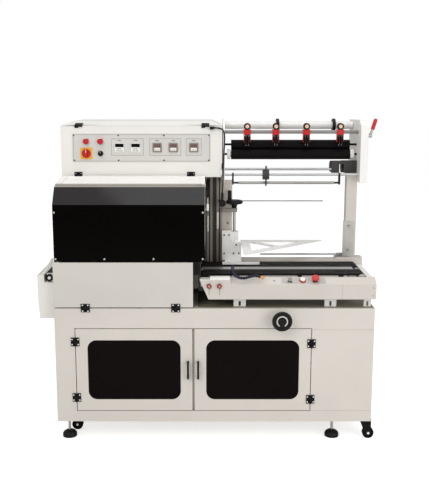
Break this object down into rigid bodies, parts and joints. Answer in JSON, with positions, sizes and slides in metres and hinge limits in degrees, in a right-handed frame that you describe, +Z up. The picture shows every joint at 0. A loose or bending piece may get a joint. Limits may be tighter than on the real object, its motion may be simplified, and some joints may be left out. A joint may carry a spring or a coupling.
{
  "type": "l bar sealer",
  "caption": "Automatic L-bar sealer: cabinet on casters, smoked hood over an L-shaped seal jaw, infeed and outfeed conveyors, control box and overhead film unwinder.",
  "frame": {"origin": "bottom centre of the whole machine's bounding box", "axes": "+Z up, -Y towards the operator (doors, handwheel), +X from outfeed to infeed"},
  "size_m": [1.562, 0.86, 1.4749],
  "materials": {
    "cabinet_paint": "satin powder coat",
    "box_paint": "satin powder coat",
    "smoked": "smoked acrylic",
    "black_plastic": "moulded",
    "black_metal": "black powder coat",
    "belt": "woven belt",
    "steel": "ground",
    "alu": "anodised",
    "cast": "dark paint",
    "rubber_black": "rubber sleeve",
    "white_plastic": "moulded",
    "red_plastic": "moulded",
    "hose": "segmented",
    "cable": "PVC jacket",
    "grey_plate": "printed film"
  },
  "bodies": {
    "machine": {"cabinet_frame": "cabinet_paint", "cabinet_rear_panel": "cabinet_paint", "seal_housing": "box_paint", "control_box": "box_paint", "instrument_panel": "grey_plate", "panel_instruments": "black_plastic", "hinge_fixed_leaves": "black_metal", "left_column": "alu", "right_post": "cabinet_paint", "unwind_plates": "box_paint", "guide_rods": "steel", "perforator_arms": "red_plastic", "feed_motor": "cast", "outfeed_frame": "cabinet_paint", "outfeed_belt": "belt", "lower_seal_jaw": "cast", "levelling_feet": "black_metal", "sensor_cable": "cable", "photo_sensor": "black_plastic", "rear_caster_forks": "steel"},
    "left_door_leaf": {"left_door": "cabinet_paint", "left_door_window": "smoked", "left_door_hardware": "black_metal"},
    "right_door_leaf": {"right_door": "cabinet_paint", "right_door_window": "smoked", "right_door_hardware": "black_metal"},
    "access_flap": {"access_panel": "cabinet_paint"},
    "hood": {"hood_frame": "box_paint", "hood_window": "smoked"},
    "spring_cylinder": {"gas_spring_cylinder": "black_metal"},
    "spring_rod": {"gas_spring_rod": "steel"},
    "box_lid": {"control_box_lid": "box_paint"},
    "main_switch": {"main_switch_knob": "red_plastic"},
    "selector": {"selector_knob": "black_plastic"},
    "start_key": {"start_button": "white_plastic"},
    "reset_key": {"reset_button": "red_plastic"},
    "stop_key": {"emergency_stop": "red_plastic"},
    "column_wheel": {"column_handwheel": "black_plastic"},
    "lift": {"carriage": "steel", "film_former": "alu"},
    "front_wheel": {"front_handwheel": "black_plastic"},
    "infeed": {"infeed_frame": "cabinet_paint", "infeed_cover": "cabinet_paint", "infeed_belts": "belt", "air_hose": "hose"},
    "infeed_drive": {"infeed_roller": "steel"},
    "outfeed_drive": {"outfeed_roller": "steel"},
    "upper_jaw": {"upper_seal_jaw": "cast"},
    "cradle_front": {"cradle_roller_front": "alu"},
    "cradle_rear": {"cradle_roller_rear": "alu"},
    "press": {"press_roller": "rubber_black"},
    "feed": {"feed_roller": "rubber_black"},
    "dancer": {"dancer_roller": "steel"},
    "perforator": {"perforator_wheels": "steel"},
    "lever": {"clamp_lever": "red_plastic"},
    "left_swivel": {"left_caster_fork": "steel"},
    "left_wheel": {"left_caster_wheel": "rubber_black"},
    "right_swivel": {"right_caster_fork": "steel"},
    "right_wheel": {"right_caster_wheel": "rubber_black"},
    "rear_wheels": {"rear_caster_wheels": "rubber_black"}
  },
  "joints": [
    {"name": "left_door_hinge", "type": "hinge", "parent": "machine", "child": "left_door_leaf", "pos_m": [-0.6105, -0.378, 0.351], "axis": [0, 0, -1], "range_deg": [0, 110]},
    {"name": "right_door_hinge", "type": "hinge", "parent": "machine", "child": "right_door_leaf", "pos_m": [0.4565, -0.378, 0.351], "axis": [0, 0, 1], "range_deg": [0, 110]},
    {"name": "access_panel_hinge", "type": "hinge", "parent": "machine", "child": "access_flap", "pos_m": [-0.39, -0.378, 0.6425], "axis": [1, 0, 0], "range_deg": [0, 90]},
    {"name": "hood_hinge", "type": "hinge", "parent": "machine", "child": "hood", "pos_m": [-0.36, -0.078, 1.201], "axis": [-1, 0, 0], "range_deg": [0, 60]},
    {"name": "gas_spring_pivot", "type": "hinge", "parent": "machine", "child": "spring_cylinder", "pos_m": [-0.012, -0.042, 1.18], "axis": [-1, 0, 0], "range_deg": [0, 52]},
    {"name": "gas_spring_stroke", "type": "slide", "parent": "spring_cylinder", "child": "spring_rod", "axis": [0, -0.7348, -0.6783], "range_m": [0, 0.031]},
    {"name": "control_box_lid_hinge", "type": "hinge", "parent": "machine", "child": "box_lid", "pos_m": [-0.324, -0.076, 1.4405], "axis": [1, 0, 0], "range_deg": [0, 95]},
    {"name": "main_switch_turn", "type": "hinge", "parent": "machine", "child": "main_switch", "pos_m": [-0.583, -0.08, 1.313], "axis": [0, -1, 0], "range_deg": [0, 90]},
    {"name": "selector_turn", "type": "hinge", "parent": "machine", "child": "selector", "pos_m": [-0.516, -0.08, 1.313], "axis": [0, -1, 0], "range_deg": [0, 90]},
    {"name": "start_button_press", "type": "slide", "parent": "infeed", "child": "start_key", "axis": [0, 0.545, -0.8384], "range_m": [0, 0.003], "stiffness_N_per_m": 400},
    {"name": "reset_button_press", "type": "slide", "parent": "infeed", "child": "reset_key", "axis": [0, 0.545, -0.8384], "range_m": [0, 0.003], "stiffness_N_per_m": 400},
    {"name": "emergency_stop_press", "type": "slide", "parent": "infeed", "child": "stop_key", "axis": [0, 0.545, -0.8384], "range_m": [0, 0.003], "stiffness_N_per_m": 600},
    {"name": "former_lift", "type": "slide", "parent": "machine", "child": "lift", "axis": [0, 0, 1], "range_m": [0, 0.08]},
    {"name": "column_handwheel_turn", "type": "hinge", "parent": "machine", "child": "column_wheel", "pos_m": [0.116, -0.022, 1.076], "axis": [0, 0, 1], "continuous": true},
    {"name": "infeed_lift", "type": "slide", "parent": "machine", "child": "infeed", "axis": [0, 0, 1], "range_m": [-0.025, 0]},
    {"name": "front_handwheel_turn", "type": "hinge", "parent": "machine", "child": "front_wheel", "pos_m": [0.318, -0.4, 0.594], "axis": [0, -1, 0], "continuous": true},
    {"name": "upper_jaw_stroke", "type": "slide", "parent": "machine", "child": "upper_jaw", "axis": [0, 0, 1], "range_m": [-0.1095, 0]},
    {"name": "infeed_roller_turn", "type": "hinge", "parent": "infeed", "child": "infeed_drive", "pos_m": [0.6832, -0.2, 0.7712], "axis": [0, 1, 0], "continuous": true},
    {"name": "outfeed_roller_turn", "type": "hinge", "parent": "machine", "child": "outfeed_drive", "pos_m": [-0.726, -0.176, 0.7712], "axis": [0, 1, 0], "continuous": true},
    {"name": "cradle_front_turn", "type": "hinge", "parent": "machine", "child": "cradle_front", "pos_m": [0.385, 0.128, 1.437], "axis": [1, 0, 0], "continuous": true},
    {"name": "cradle_rear_turn", "type": "hinge", "parent": "machine", "child": "cradle_rear", "pos_m": [0.385, 0.188, 1.437], "axis": [1, 0, 0], "continuous": true},
    {"name": "feed_roller_turn", "type": "hinge", "parent": "machine", "child": "feed", "pos_m": [0.385, 0.008, 1.304], "axis": [1, 0, 0], "continuous": true},
    {"name": "press_roller_turn", "type": "hinge", "parent": "machine", "child": "press", "pos_m": [0.385, 0.02, 1.34996], "axis": [1, 0, 0], "continuous": true},
    {"name": "dancer_roller_turn", "type": "hinge", "parent": "machine", "child": "dancer", "pos_m": [0.36, -0.06, 1.173], "axis": [1, 0, 0], "continuous": true},
    {"name": "perforator_wheels_turn", "type": "hinge", "parent": "machine", "child": "perforator", "pos_m": [0.385, -0.022, 1.37], "axis": [1, 0, 0], "continuous": true},
    {"name": "clamp_lever_turn", "type": "hinge", "parent": "machine", "child": "lever", "pos_m": [0.745, -0.07, 1.397], "axis": [1, 0, 0], "range_deg": [0, 60]},
    {"name": "left_caster_swivel", "type": "hinge", "parent": "machine", "child": "left_swivel", "pos_m": [-0.656, -0.212, 0.1], "axis": [0, 0, 1], "continuous": true},
    {"name": "left_caster_roll", "type": "hinge", "parent": "left_swivel", "child": "left_wheel", "pos_m": [-0.638, -0.212, 0.026], "axis": [0, 1, 0], "continuous": true},
    {"name": "right_caster_swivel", "type": "hinge", "parent": "machine", "child": "right_swivel", "pos_m": [0.72, -0.311, 0.1], "axis": [0, 0, 1], "continuous": true},
    {"name": "right_caster_roll", "type": "hinge", "parent": "right_swivel", "child": "right_wheel", "pos_m": [0.738, -0.311, 0.026], "axis": [0, 1, 0], "continuous": true},
    {"name": "rear_casters_roll", "type": "hinge", "parent": "machine", "child": "rear_wheels", "pos_m": [0.06, 0.3675, 0.026], "axis": [1, 0, 0], "continuous": true}
  ],
  "couplings": [
    {"joint": "gas_spring_pivot", "follows": "hood_hinge", "ratio": 0.859},
    {"joint": "gas_spring_stroke", "follows": "hood_hinge", "m_per_rad": 0.02925},
    {"joint": "column_handwheel_turn", "follows": "former_lift", "rad_per_m": 628.32},
    {"joint": "front_handwheel_turn", "follows": "infeed_lift", "rad_per_m": -1256.6},
    {"joint": "press_roller_turn", "follows": "feed_roller_turn", "ratio": -1.1364}
  ]
}
